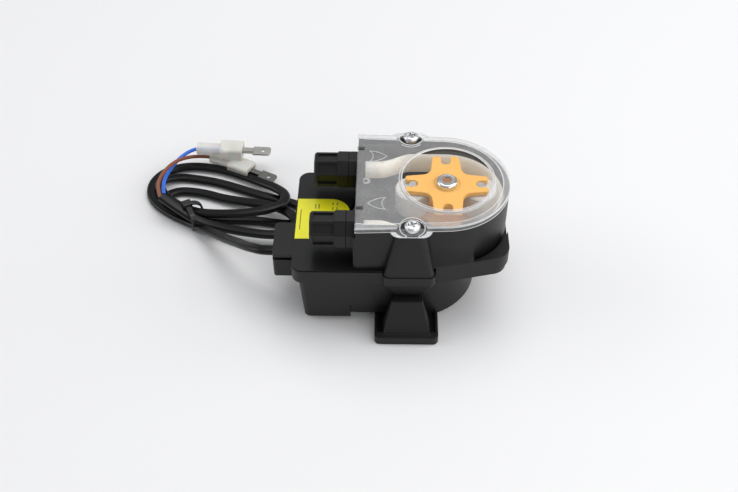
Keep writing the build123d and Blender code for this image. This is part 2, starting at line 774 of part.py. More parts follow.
with BuildPart() as gear_plate_posts:
    with BuildSketch(Plane.XY.offset(motor_high + plate_thickness)):
        for angle in post_angles:
            with Locations((drum_x + 24.5 * cos(radians(angle)), 24.5 * sin(radians(angle)))):
                Circle(post_radius)
    extrude(amount=upper_plate_low - motor_high - plate_thickness)
gear_plate_posts.part.label = "gear_plate_posts"
export_step(gear_plate_posts.part, "parts/gear_plate_posts.step")

# ---------------------------------------------------------------- motor

pole_count = 6
sheet = 0.8

with BuildPart() as motor_case:
    with BuildSketch(Plane.XY.offset(motor_low)):
        Circle(motor_radius)
    extrude(amount=motor_high - motor_low)
    with BuildSketch(Plane.XY.offset(motor_low + sheet)):
        Circle(motor_radius - sheet)
    extrude(amount=30, mode=Mode.SUBTRACT)
motor_case.part.label = "motor_case"
export_step(motor_case.part.moved(Location((drum_x, 0, 0))), "parts/motor_case.step")

# Two claw plates whose fingers stand between each other round the magnet
for name, low, turn, reach in (
    ("claw_plate_lower", motor_low + sheet, 0, 1),
    ("claw_plate_upper", motor_high - sheet, 180 / pole_count, -1),
):
    with BuildPart() as claw_plate:
        with BuildSketch(Plane.XY.offset(low)):
            Circle(motor_radius - sheet - 0.1)
            Circle(12.8, mode=Mode.SUBTRACT)
        extrude(amount=sheet)
        with BuildSketch(Plane.XY.offset(low + sheet / 2)):
            with PolarLocations(13.2, pole_count, start_angle=turn):
                Rectangle(3, 5.2)
            Circle(13.6, mode=Mode.INTERSECT)
            Circle(12.8, mode=Mode.SUBTRACT)
        extrude(amount=reach * 13.5)
    claw_plate.part.label = name
    export_step(claw_plate.part.moved(Location((drum_x, 0, 0))), f"parts/{name}.step")

with BuildPart() as motor_coil:
    with BuildSketch(Plane.XY.offset(motor_low + 2 * sheet + 0.1)):
        Circle(motor_radius - 1.4)
        Circle(14.2, mode=Mode.SUBTRACT)
    extrude(amount=motor_high - motor_low - 3 * sheet - 0.2)
    with BuildSketch(Plane.XY.offset(motor_low + 2 * sheet + 1.2)):
        Circle(motor_radius)
        Circle(motor_radius - 2.6, mode=Mode.SUBTRACT)
    extrude(amount=motor_high - motor_low - 3 * sheet - 2.4, mode=Mode.SUBTRACT)
motor_coil.part.label = "motor_coil"
export_step(motor_coil.part.moved(Location((drum_x, 0, 0))), "parts/motor_coil.step")

with BuildPart() as motor_axle:
    with BuildSketch(Plane.XY.offset(motor_low + sheet)):
        with Locations((drum_x, 0)):
            Circle(1.5)
    extrude(amount=upper_plate_low + plate_thickness - motor_low - sheet)
motor_axle.part.label = "motor_axle"
export_step(motor_axle.part, "parts/motor_axle.step")

with BuildPart() as magnet_rotor:
    with BuildSketch(Plane.XY.offset(motor_low + sheet + 1)):
        Circle(12.2)
    extrude(amount=14.5)
    with BuildSketch(Plane.XY.offset(motor_low + sheet + 15.5)):
        Circle(3.4)
    extrude(amount=4)
    with BuildSketch(Plane.XY.offset(motor_low + sheet + 19.5)):
        gear_plan(magnet_pinion_teeth, to_gear_1 + 180 / magnet_pinion_teeth)
    extrude(amount=gear_face_high + 0.2 - motor_low - sheet - 19.5)
    with Locations((0, 0, 40)):
        Hole(1.5 + running_gap, depth=60)
magnet_rotor.part.label = "magnet_rotor"
export_step(magnet_rotor.part.moved(Location((drum_x, 0, 0))), "parts/magnet_rotor.step")

# ---------------------------------------------------------------- wiring box

with BuildPart() as terminal_block:
    with BuildSketch(Plane.XY.offset(5.0)):
        with Locations((-37, 12)):
            Rectangle(12, 20)
    extrude(amount=13)
    with BuildSketch(Plane.XY.offset(18)):
        with Locations((-37, 7), (-37, 17)):
            Circle(2.6)
    extrude(amount=-5, mode=Mode.SUBTRACT)
    with BuildSketch(Plane.YZ.offset(-44)):
        with Locations((7, 10), (17, 10)):
            Circle(1.8)
    extrude(amount=14, mode=Mode.SUBTRACT)
terminal_block.part.label = "terminal_block"
export_step(terminal_block.part, "parts/terminal_block.step")

with BuildPart() as terminal_screws:
    with BuildSketch(Plane.XY.offset(13.0)):
        with Locations((-37, 7), (-37, 17)):
            Circle(2.5)
            Rectangle(4, 0.7, mode=Mode.SUBTRACT)
    extrude(amount=3)
    with BuildSketch(Plane.XY.offset(13.0)):
        with Locations((-37, 7), (-37, 17)):
            Circle(2.5)
    extrude(amount=2)
terminal_screws.part.label = "terminal_screws"
export_step(terminal_screws.part, "parts/terminal_screws.step")

with BuildPart() as cord_clamp:
    with BuildSketch(Plane.XY.offset(5.0)):
        with Locations((-42.5, cord_y - 6), (-42.5, cord_y + 6)):
            Circle(2.6)
    extrude(amount=cord_z - cord_thickness / 2 - 5)
    with BuildSketch(Plane.XY.offset(cord_z + cord_thickness / 2)):
        with Locations((-42.5, cord_y)):
            RectangleRounded(5, 18, 1.2)
    extrude(amount=2)
    with BuildSketch(Plane.XY.offset(cord_z - cord_thickness / 2)):
        with Locations((-42.5, cord_y - 6), (-42.5, cord_y + 6)):
            Circle(2.6)
    extrude(amount=cord_thickness)
cord_clamp.part.label = "cord_clamp"
export_step(cord_clamp.part, "parts/cord_clamp.step")

with BuildPart() as cord_inside:
    with BuildSketch(Plane.YZ.offset(block_left)):
        with Locations((cord_y, cord_z)):
            SlotOverall(cord_width, cord_thickness)
    extrude(amount=22)
cord_inside.part.label = "cord_inside"
export_step(cord_inside.part, "parts/cord_inside.step")

with BuildPart() as motor_leads:
    with BuildSketch(Plane.YZ.offset(-33)):
        with Locations((7, 10), (17, 10)):
            Circle(wire_radius)
    extrude(amount=20)
    # Ends cut to the round motor case
    with Locations((drum_x, 0, 10)):
        Cylinder(motor_radius, 6, mode=Mode.SUBTRACT)
motor_leads.part.label = "motor_leads"
export_step(motor_leads.part, "parts/motor_leads.step")

with BuildPart() as rating_label:
    with BuildSketch(Plane.XY.offset(box_top)):
        with Locations((-39.0, 0.5)):
            Rectangle(24.6, 26.4)
        fillet(vertices().group_by(Axis.X)[-1], radius=9)
    extrude(amount=0.15)
rating_label.part.label = "rating_label"
export_step(rating_label.part, "parts/rating_label.step")

# ---------------------------------------------------------------- wall bracket

bracket_half_width = 14.55
bracket_half_length = 45.6
rail = 1.5
latch_x = 0.0
latch_low = 16.05

with BuildPart() as wall_bracket:
    with BuildSketch():
        RectangleRounded(2 * bracket_half_width, 2 * bracket_half_length, 2.5)
    extrude(amount=bracket_base)
    for side in (-1, 1):
        # Foot with low walls on three sides
        with BuildSketch(Plane.XY.offset(bracket_base)):
            with Locations((0, side * (bracket_half_length - 14))):
                Rectangle(2 * bracket_half_width, 28)
            fillet(vertices().sort_by(lambda v: -abs(v.Y))[:2], radius=2.5)
            with Locations((0, side * (bracket_half_length - 18))):
                Rectangle(2 * (bracket_half_width - rail), 28, mode=Mode.SUBTRACT)
            with Locations((drum_x, 0)):
                Circle(drum_radius + 0.6, mode=Mode.SUBTRACT)
        extrude(amount=2.2)
        # Latch arm, narrowing upwards, with its nose over the ledge on the lower housing
        with BuildSketch(Plane.XY.offset(bracket_base)):
            with Locations((latch_x, side * 39.4)):
                Rectangle(22.4, 9.4)
        with BuildSketch(Plane.XY.offset(20.6)):
            with Locations((latch_x, side * 36.8)):
                Rectangle(13.8, 2.6)
        loft()
        with BuildSketch(Plane.XY.offset(latch_low)):
            with Locations((latch_x, side * 34.6)):
                Rectangle(12, 5)
        extrude(amount=20.6 - latch_low)
        # Back of the arm stays clear of the drum and its ledge
        with BuildSketch(Plane.XY.offset(bracket_base)):
            with Locations((latch_x, side * 30)):
                Rectangle(26, 9.6)
        extrude(amount=latch_low - bracket_base, mode=Mode.SUBTRACT)
    # Countersunk holes for the wall screws, under the drum
    with Locations((0, 20, bracket_base), (0, -20, bracket_base)):
        CounterSinkHole(2.2, 3.1, depth=10)
wall_bracket.part.label = "wall_bracket"
export_step(wall_bracket.part, "parts/wall_bracket.step")

# ---------------------------------------------------------------- cord, hank and leads

def tube_path(name, points, share=0.45):
    """Straight runs with the largest arc that each corner's two runs allow."""
    radii = []
    for before, corner, after in zip(points, points[1:], points[2:]):
        arrive = Vector(*corner) - Vector(*before)
        leave = Vector(*after) - Vector(*corner)
        turn = radians(arrive.get_angle(leave))
        radii.append(share * min(arrive.length, leave.length) / tan(turn / 2))
    print(name, "arc radii", [round(r, 1) for r in radii])
    with BuildLine() as path:
        FilletPolyline(*points, radius=radii)
    return path.wires()[0]


def tube_solid(name, points, radius):
    """Round tube along a route, with its volume checked against section times length."""
    path = tube_path(name, points)
    with BuildPart() as tube:
        with BuildSketch(Plane(origin=path @ 0, z_dir=path % 0)):
            Circle(radius)
        sweep(path=path)
    share = tube.part.volume / (pi * radius**2 * path.length)
    print(name, f"length {path.length:.1f} mm, volume over section times length {share:.3f}")
    tube.part.label = name
    export_step(tube.part, f"parts/{name}.step")


lead_radius = 1.9
lead_route = [
    (block_left, cord_y, cord_z),
    (-70.0, cord_y, cord_z),
    (-78.0, -7.4, 21.8),
    (-85.5, 1.6, 13.0),
    (-91.6, 9.6, 5.8),
    (-97.4, 17.4, 2.2),
]
tube_solid("cord_lead", lead_route, lead_radius)

# One solid for the coiled length: a low ring, with a taller bundle along its front
hank_outline = [
    (-134.5, 50),
    (-128, 64),
    (-112, 69.5),
    (-90, 59),
    (-64, 47),
    (-57.5, 32),
    (-66, 14.5),
    (-86, 16.5),
    (-106, 23.5),
    (-122, 32),
]
ring_height = 4.6
bundle_height = 9.6
hank_middle = Location((-96, 42.5, 0), (0, 0, -16))
with BuildPart() as cord_hank:
    with BuildSketch() as hank_plan:
        with BuildLine():
            Spline(*hank_outline, periodic=True)
        make_face()
        with Locations(hank_middle):
            Ellipse(17, 6, mode=Mode.SUBTRACT)
    extrude(amount=ring_height)
    with BuildSketch(Plane.XY.offset(ring_height)):
        add(hank_plan.sketch)
        with Locations(hank_middle):
            Rectangle(120, 60, align=(Align.CENTER, Align.MIN), mode=Mode.SUBTRACT)
    extrude(amount=bundle_height - ring_height)
    fillet(cord_hank.faces().sort_by(Axis.Z)[-1].edges(), radius=1.8)
cord_hank.part.label = "cord_hank"
export_step(cord_hank.part, "parts/cord_hank.step")

with BuildPart() as cable_tie:
    with BuildSketch(Plane(origin=(-109, 31.5, 5.7), x_dir=(0.43, -0.9, 0), z_dir=(0.9, 0.43, 0))):
        RectangleRounded(15.4, 11.0, 3)
        RectangleRounded(13.4, 9.0, 2.5, mode=Mode.SUBTRACT)
    extrude(amount=1.3, both=True)
cable_tie.part.label = "cable_tie"
export_step(cable_tie.part, "parts/cable_tie.step")

brown_route = [
    (-124.4, 38.4, 11.4),
    (-126.9, 43.8, 13.6),
    (-126.1, 52.9, 14.2),
    (-122.4, 63.1, 13.0),
    (-118.2, 71.4, 9.6),
    (-112.0, 77.4, 6.0),
    (-103.9, 79.0, 4.0),
]
blue_route = [
    (-123.1, 41.0, 11.6),
    (-125.2, 48.6, 10.8),
    (-124.7, 59.9, 9.2),
    (-120.7, 71.9, 8.8),
    (-115.9, 76.2, 10.0),
    (-111.2, 78.0, 10.9),
]
tube_solid("brown_wire", brown_route, wire_radius)
tube_solid("blue_wire", blue_route, wire_radius)

# Insulated push-on tabs that end the two leads
for colour, origin, turn in (("blue", blue_route[-1], -3), ("brown", brown_route[-1], -26.7)):
    start = Plane(origin=origin, x_dir=(0, 0, -1), z_dir=(cos(radians(turn)), sin(radians(turn)), 0))
    with BuildPart() as sleeve:
        with BuildSketch(start):
            RectangleRounded(4.8, 6.6, 1.8)
        extrude(amount=12.5)
        with BuildSketch(start.offset(12.5)):
            RectangleRounded(6.8, 9.8, 1.6)
        extrude(amount=12.3)
        with BuildSketch(start.offset(24.8)):
            Rectangle(2.4, 7.4)
        extrude(amount=-8, mode=Mode.SUBTRACT)
    sleeve.part.label = f"{colour}_sleeve"
    export_step(sleeve.part, f"parts/{colour}_sleeve.step")

    with BuildPart() as tab:
        with BuildSketch(start.offset(17)):
            Rectangle(1.8, 3.0)
        extrude(amount=13.6)
        blade = Plane(origin=origin, x_dir=start.z_dir, z_dir=(0, 0, 1))
        with BuildSketch(blade.offset(-0.4)):
            with Locations((34.9, 0)):
                Rectangle(9.4, 6.3)
            fillet(vertices().group_by(Axis.X)[-1], radius=1.8)
            with Locations((35.5, 0)):
                Circle(1.0, mode=Mode.SUBTRACT)
        extrude(amount=0.8)
    tab.part.label = f"{colour}_tab"
    export_step(tab.part, f"parts/{colour}_tab.step")
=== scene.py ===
import bmesh
import bpy
import json
import math
from mathutils import Matrix, Vector


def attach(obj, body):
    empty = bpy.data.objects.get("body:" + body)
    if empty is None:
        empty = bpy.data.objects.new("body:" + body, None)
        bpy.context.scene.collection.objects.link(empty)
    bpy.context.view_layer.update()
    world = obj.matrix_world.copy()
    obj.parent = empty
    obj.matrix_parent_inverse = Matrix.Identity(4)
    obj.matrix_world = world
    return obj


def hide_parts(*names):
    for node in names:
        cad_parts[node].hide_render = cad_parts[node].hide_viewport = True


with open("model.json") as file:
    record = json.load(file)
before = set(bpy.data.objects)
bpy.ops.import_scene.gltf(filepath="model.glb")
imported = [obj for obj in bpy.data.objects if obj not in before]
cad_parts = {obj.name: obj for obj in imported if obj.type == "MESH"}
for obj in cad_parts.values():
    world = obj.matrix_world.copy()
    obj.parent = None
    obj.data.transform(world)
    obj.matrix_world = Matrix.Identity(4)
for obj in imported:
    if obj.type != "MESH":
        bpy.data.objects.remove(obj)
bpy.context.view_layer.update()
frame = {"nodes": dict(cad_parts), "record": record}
nodes = frame["nodes"]
bodyOf = {}
for bodyName, members in frame["record"]["behaviour"]["bodies"].items():
    for member in members:
        bodyOf[member] = bodyName
print("frame loaded")

camera = {
    "place": (-0.01007, -0.33177, 0.35889),
    "right": (0.999735, 0.023019, 0.0),
    "up": (-0.016508, 0.716960, 0.696930),
    "forward": (-0.016043, 0.696745, -0.717150),
    "roll": math.radians(-0.361),
    "lens": 48.82,
}
right, up, forward = (Vector(camera[k]) for k in ("right", "up", "forward"))
across = math.cos(camera["roll"]) * right + math.sin(camera["roll"]) * up
upward = math.cos(camera["roll"]) * up - math.sin(camera["roll"]) * right
turn = Matrix((across, upward, -forward)).transposed().to_4x4()
cameraData = bpy.data.cameras.new("studioCamera")
cameraData.lens = camera["lens"]
cameraData.sensor_width = 36.0
cameraData.sensor_fit = "HORIZONTAL"
cameraData.clip_start = 0.01
cameraObject = bpy.data.objects.new("studioCamera", cameraData)
cameraObject.matrix_world = Matrix.Translation(camera["place"]) @ turn
bpy.context.collection.objects.link(cameraObject)
bpy.context.scene.camera = cameraObject


class Lead:
    def __init__(self, finish, socket):
        self.finish = finish
        self.socket = socket

    def __add__(self, other):
        return self.finish.maths("ADD", self, other)

    def __radd__(self, other):
        return self.finish.maths("ADD", other, self)

    def __sub__(self, other):
        return self.finish.maths("SUBTRACT", self, other)

    def __rsub__(self, other):
        return self.finish.maths("SUBTRACT", other, self)

    def __mul__(self, other):
        return self.finish.maths("MULTIPLY", self, other)

    def __rmul__(self, other):
        return self.finish.maths("MULTIPLY", other, self)

    def __pow__(self, other):
        return self.finish.maths("POWER", self, other)

    def __lt__(self, other):
        return self.finish.maths("LESS_THAN", self, other)

    def __gt__(self, other):
        return self.finish.maths("GREATER_THAN", self, other)


class Finish:
    def __init__(self, name, **constants):
        self.material = bpy.data.materials.new(name)
        self.material.use_nodes = True
        self.tree = self.material.node_tree
        self.shader = self.tree.nodes["Principled BSDF"]
        self.point = self.node("ShaderNodeTexCoord", {}, {}, "Object")
        self.dress(**constants)

    def node(self, kind, settings=None, sockets=None, output=0):
        made = self.tree.nodes.new(kind)
        for key, value in (settings or {}).items():
            setattr(made, key, value)
        for key, value in (sockets or {}).items():
            self.join(made.inputs[key], value)
        return Lead(self, made.outputs[output])

    def join(self, socket, value):
        if isinstance(value, Lead):
            self.tree.links.new(value.socket, socket)
        elif hasattr(value, "__len__") and len(value) == 3 and socket.type == "RGBA":
            socket.default_value = (*value, 1.0)
        else:
            socket.default_value = value

    # Sets the shader's own sockets; "_" in a key stands for a space in the socket's name
    def dress(self, **values):
        for key, value in values.items():
            self.join(self.shader.inputs[key.replace("_", " ")], value)

    def noise(self, scale, detail=2.0, stretch=None):
        where = self.point
        if stretch:
            where = self.node("ShaderNodeMapping", {}, {"Vector": where, "Scale": stretch}, "Vector")
        return self.node("ShaderNodeTexNoise", {}, {"Vector": where, "Scale": scale, "Detail": detail}, 0)

    def maths(self, operation, first, second):
        return self.node("ShaderNodeMath", {"operation": operation}, {0: first, 1: second})

    def blend(self, mask, low, high):
        return self.node("ShaderNodeMix", {"data_type": "RGBA"}, {"Factor": mask, 6: low, 7: high}, 2)

    def bump(self, height, distance, strength):
        return self.node("ShaderNodeBump", {}, {"Strength": strength, "Distance": distance, "Height": height})

    def axis(self, which):
        return self.node("ShaderNodeSeparateXYZ", {}, {0: self.point}, which)


finishes = {}

plastic = {"colour": (0.0062, 0.0063, 0.0065), "worn": (0.0105, 0.0106, 0.0108), "rough": 0.34}


# Moulded black plastic: fine spark grain, faint cloudy sheen
def mouldedBlack(name, rough, grainDepth):
    made = Finish(name, Specular_IOR_Level=0.32)
    grain = made.noise(2600, 2.0)
    cloud = made.noise(38, 3.0)
    fine = made.noise(420, 2.0)
    made.dress(
        Base_Color=made.blend(cloud, plastic["colour"], plastic["worn"]),
        Roughness=rough + 0.10 * cloud + 0.06 * fine,
        Normal=made.bump(grain, grainDepth, 0.5),
    )
    return made.material


finishes["black"] = mouldedBlack("blackMoulded", plastic["rough"], 0.00003)
finishes["blackGloss"] = mouldedBlack("blackFittings", 0.33, 0.00001)
finishes["blackBracket"] = mouldedBlack("blackBracket", 0.42, 0.00004)


# Metals share brushed or tumbled grain
def metal(name, colour, rough, grain=900, stretch=None):
    made = Finish(name, Metallic=1.0)
    streak = made.noise(grain, 3.0, stretch)
    patch = made.noise(120, 2.0)
    made.dress(
        Base_Color=made.blend(patch, [c * 0.82 for c in colour], colour),
        Roughness=rough + 0.16 * streak,
        Normal=made.bump(streak, 0.00001, 0.4),
    )
    return made.material


finishes["zinc"] = metal("zincPlate", (0.84, 0.85, 0.86), 0.26)
finishes["steel"] = metal("groundSteel", (0.60, 0.59, 0.57), 0.22, 1500, (1, 1, 0.06))
finishes["chrome"] = metal("chromedCap", (0.80, 0.80, 0.81), 0.06, 600)
# Darker copy of the tin for the brown tab: painted shade, the same metal as the blue tab
finishes["tinPaintedShade"] = metal("shadedTinTab", (0.20, 0.195, 0.185), 0.36, 1400, (0.1, 1, 1))
finishes["tin"] = metal("tinnedTab", (0.50, 0.49, 0.47), 0.34, 1400, (0.1, 1, 1))
finishes["bronze"] = metal("sinteredBronze", (0.55, 0.33, 0.16), 0.42, 2000)
finishes["copper"] = metal("windingWire", (0.62, 0.25, 0.10), 0.30, 1600, (0.1, 0.1, 1))
finishes["shaftTip"] = metal("copperyTip", (0.42, 0.20, 0.09), 0.34, 1500)


# Plain mouldings in a light colour
def moulded(name, dark, light, rough, cloudScale=60, **constants):
    made = Finish(name, **constants)
    cloud = made.noise(cloudScale, 3.0)
    grain = made.noise(1800, 2.0)
    made.dress(
        Base_Color=made.blend(cloud, dark, light),
        Roughness=rough + 0.12 * grain,
        Normal=made.bump(grain, 0.00002, 0.35),
    )
    return made.material


finishes["spider"] = moulded(
    "yellowSpider", (0.90, 0.46, 0.075), (0.95, 0.52, 0.10), 0.42, Subsurface_Weight=0.08, Subsurface_Scale=0.002
)
finishes["roller"] = moulded("rollerAcetal", (0.66, 0.65, 0.62), (0.76, 0.75, 0.72), 0.30)
finishes["acetal"] = moulded("gearAcetal", (0.78, 0.78, 0.74), (0.86, 0.86, 0.83), 0.38)
finishes["nylon"] = moulded("terminalNylon", (0.70, 0.69, 0.63), (0.80, 0.79, 0.73), 0.40)
# Painted light: the hose glows faintly, brightening it where it lies in shade inside the head
finishes["hose"] = moulded(
    "pumpHosePaintedGlow", (0.86, 0.76, 0.63), (0.92, 0.84, 0.72), 0.38, 45, Subsurface_Weight=1.0, Subsurface_Scale=0.008,
    Subsurface_Radius=(1.0, 0.9, 0.8), Emission_Color=(0.90, 0.78, 0.62), Emission_Strength=0.20
)
finishes["seal"] = moulded("sealRubber", (0.015, 0.015, 0.015), (0.03, 0.03, 0.03), 0.6)
finishes["ferrite"] = moulded("ferriteMagnet", (0.06, 0.06, 0.065), (0.09, 0.09, 0.095), 0.5)
finishes["blueWire"] = moulded("blueInsulation", (0.03, 0.16, 0.78), (0.045, 0.21, 0.90), 0.34)
finishes["brownWire"] = moulded("brownInsulation", (0.20, 0.062, 0.028), (0.30, 0.095, 0.045), 0.36)
finishes["sheath"] = moulded(
    "cordSheath", (0.0022, 0.0022, 0.0025), (0.0045, 0.0045, 0.005), 0.24, 90, Specular_IOR_Level=0.30
)
finishes["tie"] = moulded("cableTie", (0.010, 0.010, 0.011), (0.018, 0.018, 0.019), 0.30)
finishes["sleeve"] = moulded(
    "milkySleeve", (0.80, 0.79, 0.72), (0.92, 0.91, 0.85), 0.26, 150, Alpha=0.64, Subsurface_Weight=0.3,
    Subsurface_Scale=0.003
)

# Clear cover: hazed flat, clearer round window, edges painted bright as highlights
cover = {
    "rotorX": 0.01725, "arcX": 0.0155, "arcRadius": 0.0300, "half": 0.0316, "left": -0.02315, "slope": 0.0402,
    "screwX": 0.0015, "screwY": 0.0295, "wellRadius": 0.0052,
    "window": 0.0200, "ring": 0.0216, "line": 0.0004, "lip": 0.0006, "band": 0.0030, "bandEdge": 0.0034,
    "topLevel": 0.0594, "markLevel": 0.05995, "markLeft": -0.0200, "lugLevel": 0.0603, "lugRight": -0.015,
    "wellLevel": 0.0580, "wallFoot": 0.0578, "windowHaze": 0.03, "flatHaze": 0.27, "ringHaze": 0.42,
    "bandHaze": 0.42, "lineHaze": 0.85, "wallHaze": 0.22, "lipHaze": 0.75, "lugHaze": 0.55, "mostHaze": 0.92,
    "lightLow": (0.66, 0.665, 0.67), "lightHigh": (0.88, 0.885, 0.89), "lugPaintedShade": (0.10, 0.10, 0.105),
}


def coverFinish():
    made = Finish("clearCover", Specular_IOR_Level=0.6, IOR=1.49)
    x, y, z = (made.axis(k) for k in (0, 1, 2))
    side = (y * y) ** 0.5
    out = ((x - cover["rotorX"]) * (x - cover["rotorX"]) + y * y) ** 0.5
    toScrew = ((x - cover["screwX"]) * (x - cover["screwX"])
               + (side - cover["screwY"]) * (side - cover["screwY"])) ** 0.5
    # How far a spot lies outside the head's rounded plan
    nose = x > cover["arcX"]
    fromNose = ((x - cover["arcX"]) * (x - cover["arcX"]) + y * y) ** 0.5 - cover["arcRadius"]
    fromSide = side - (cover["half"] - cover["slope"] * (x - cover["left"]))
    reach = nose * fromNose + (1 - nose) * fromSide
    top = z > cover["topLevel"]
    window = out < cover["window"]
    ring = (out > cover["window"]) * (out < cover["ring"]) * top
    ringEdge = ring * ((out < cover["window"] + cover["line"]) + (out > cover["ring"] - cover["line"]))
    band = (reach > -cover["band"]) * top
    lip = (reach > -cover["lip"]) * top
    bandEdge = (reach > -cover["bandEdge"]) * (reach < cover["line"] - cover["bandEdge"]) * top * (1 - ring)
    wall = (reach > -cover["lip"]) * (1 - top)
    foot = wall * (z < cover["wallFoot"])
    wellRing = (toScrew > cover["wellRadius"]) * (toScrew < cover["wellRadius"] + cover["line"])
    well = wellRing * (z > cover["wellLevel"])
    lug = (z > cover["lugLevel"]) * (x < cover["lugRight"])
    mark = (z > cover["markLevel"]) * (1 - band) * (1 - window) * (1 - ring) * (x > cover["markLeft"])
    frost = made.noise(900, 4.0)
    cloud = made.noise(95, 3.0)
    fleck = made.noise(330, 2.0)
    plainFlat = (1 - window) * (1 - ring) * (1 - mark) * (1 - band) * (1 - wall) * (1 - lug)
    flat = cover["flatHaze"] * (0.55 + 0.5 * cloud + 0.4 * frost) * (0.10 + 0.90 * top)
    # Painted highlights: ring edges, border edge line, raised marks, screw-well rims and the wall's foot drawn
    # bright
    paintedGlints = ringEdge + bandEdge + 0.65 * mark + well + 0.8 * foot
    # The outer lip of the top is painted bright as an edge highlight too
    haze = (
        window * cover["windowHaze"] + ring * cover["ringHaze"] + plainFlat * flat
        + (band - lip) * cover["bandHaze"] * (0.7 + 0.6 * cloud)
        + wall * cover["wallHaze"] * (0.6 + 0.8 * fleck)
        + lip * cover["lipHaze"] + lug * cover["lugHaze"] + paintedGlints * cover["lineHaze"]
    )
    light = made.blend(fleck, cover["lightLow"], cover["lightHigh"])
    made.dress(
        # The raised lug is painted dark as shade
        Base_Color=made.blend(lug, light, cover["lugPaintedShade"]),
        Roughness=0.06 + plainFlat * (0.16 + 0.18 * frost),
        Alpha=made.maths("MINIMUM", haze, cover["mostHaze"]),
        Normal=made.bump(frost, 0.00003, 0.35),
    )
    return made.material


finishes["cover"] = coverFinish()

# Each bar: left, right, front, back, share of ink
label = {
    "film": (0.97, 0.93, 0.014), "ink": (0.05, 0.05, 0.04),
    "bars": (
        (-0.0497, -0.0492, -0.0070, 0.0065, 0.75),
        (-0.0431, -0.0425, 0.0070, 0.0101, 0.7),
        (-0.0415, -0.0409, 0.0070, 0.0101, 0.7),
        (-0.0350, -0.0344, 0.0092, 0.0113, 0.7),
        (-0.0330, -0.0324, 0.0092, 0.0113, 0.7),
        (-0.0350, -0.0344, 0.0060, 0.0082, 0.7),
        (-0.0330, -0.0324, 0.0060, 0.0082, 0.7),
    ),
}


# Yellow film with a few plain ruled bars and nothing written on it
def labelFinish():
    made = Finish("yellowLabel", Coat_Weight=0.25, Coat_Roughness=0.12)
    x, y = made.axis(0), made.axis(1)
    fibre = made.noise(900, 2.0)
    bars = None
    for low, high, start, end, share in label["bars"]:
        bar = (x > low) * (x < high) * (y > start) * (y < end) * share
        bars = bar if bars is None else bars + bar
    made.dress(
        Base_Color=made.blend(bars, label["film"], label["ink"]),
        Roughness=0.30 + 0.12 * fibre,
        Normal=made.bump(fibre, 0.00001, 0.3),
    )
    return made.material


finishes["label"] = labelFinish()
print("finishes made")


def place(point):
    return Vector([c * 0.001 for c in point])


def curvePiece(name, points, finish, steps, radius=0.0, profile=None):
    data = bpy.data.curves.new(name, "CURVE")
    data.dimensions = "3D"
    data.resolution_u = steps
    data.twist_mode = "Z_UP"
    data.use_fill_caps = True
    if profile:
        data.bevel_mode = "OBJECT"
        data.bevel_object = profile
    else:
        data.bevel_depth = radius
        data.bevel_resolution = 5
    line = data.splines.new("NURBS")
    line.points.add(len(points) - 1)
    for spot, point in zip(line.points, points):
        spot.co = (*place(point), 1.0)
    line.order_u = 3
    line.use_endpoint_u = True
    piece = bpy.data.objects.new(name, data)
    bpy.context.collection.objects.link(piece)
    data.materials.append(finishes[finish])
    return piece


def lengthOf(piece):
    probe = bpy.data.objects.new("probe", piece.data.copy())
    curve = probe.data
    curve.bevel_depth = 0
    curve.bevel_object = None
    bpy.context.collection.objects.link(probe)
    line = probe.evaluated_get(bpy.context.evaluated_depsgraph_get()).to_mesh()
    spots = [vertex.co for vertex in line.vertices]
    total = sum((spots[edge.vertices[0]] - spots[edge.vertices[1]]).length for edge in line.edges)
    bpy.data.objects.remove(probe)
    bpy.data.curves.remove(curve)
    return total


# Widths in millimetres; the groove runs along the middle of both flat sides
flatCord = {"width": 5.2, "thick": 3.2, "groove": 0.14, "grooveHalf": 0.1, "sides": 28}
cordRoute = [
    (-61, -13, 27.4), (-66, -13, 27.3), (-70.4, -10.4, 25.8), (-75.2, -6.2, 22.9), (-80.6, 0, 18.9),
    (-86.5, 6.6, 14.4), (-92.8, 13.8, 10.3), (-99.8, 21.2, 6.2), (-107.4, 28.2, 2.9), (-116.8, 34, 2),
    (-127.5, 41.9, 1.8), (-133, 50.7, 1.9), (-133.4, 60.8, 2), (-127.9, 69.2, 2), (-118.4, 73.2, 2.1),
    (-107.2, 72.9, 2.3), (-95.7, 69.9, 2.4), (-85.1, 65.1, 2.6), (-75.4, 59.4, 3.4), (-67, 53.4, 5.2),
    (-61, 45.6, 7.4), (-62.2, 37.2, 8.8), (-69, 33, 9.2), (-78.1, 30.8, 9), (-87.6, 30.3, 8.4),
    (-97.5, 31.3, 7.4), (-106.1, 32.8, 6.8), (-114.4, 37, 6.6), (-121.8, 43.3, 5.6), (-127.6, 51, 5.2),
    (-129, 57.6, 4.4), (-125.6, 62.8, 3), (-118.6, 64.6, 1.9), (-110.2, 63.4, 1.8), (-100, 61.2, 1.8),
    (-89.3, 57.2, 1.8), (-79.2, 52.8, 1.8), (-69.6, 49.2, 1.8), (-61, 46.6, 1.8), (-54.4, 43.6, 1.8),
    (-51.4, 37.8, 1.8), (-53.8, 31.8, 1.8), (-60, 29.6, 1.8), (-68, 31, 1.8), (-76.5, 32.6, 1.8),
    (-87.4, 32.6, 1.8), (-98.1, 32.9, 1.9), (-106.9, 34, 2.7), (-114.2, 35.8, 2.4), (-121, 37.8, 1.9),
    (-126, 43.4, 1.8), (-124.6, 50.6, 1.8), (-118, 54.2, 1.8), (-110, 53.4, 1.8), (-103, 51.6, 1.9),
    (-96, 48.6, 2.2), (-87.2, 45.6, 3.2), (-78.5, 42.6, 4.4), (-69.4, 40.2, 5.2), (-61.2, 36.6, 5.4),
    (-55.2, 30.6, 5.6), (-54.6, 22.6, 6), (-60.4, 18.2, 6.2), (-69, 18, 6.2), (-79.2, 19.8, 6), (-88, 22, 5.8),
    (-96.9, 24.6, 5.8), (-105.2, 27.4, 6.6), (-113, 31.8, 8.6), (-119.6, 36.2, 10.2), (-124.1, 39.4, 11.2),
]


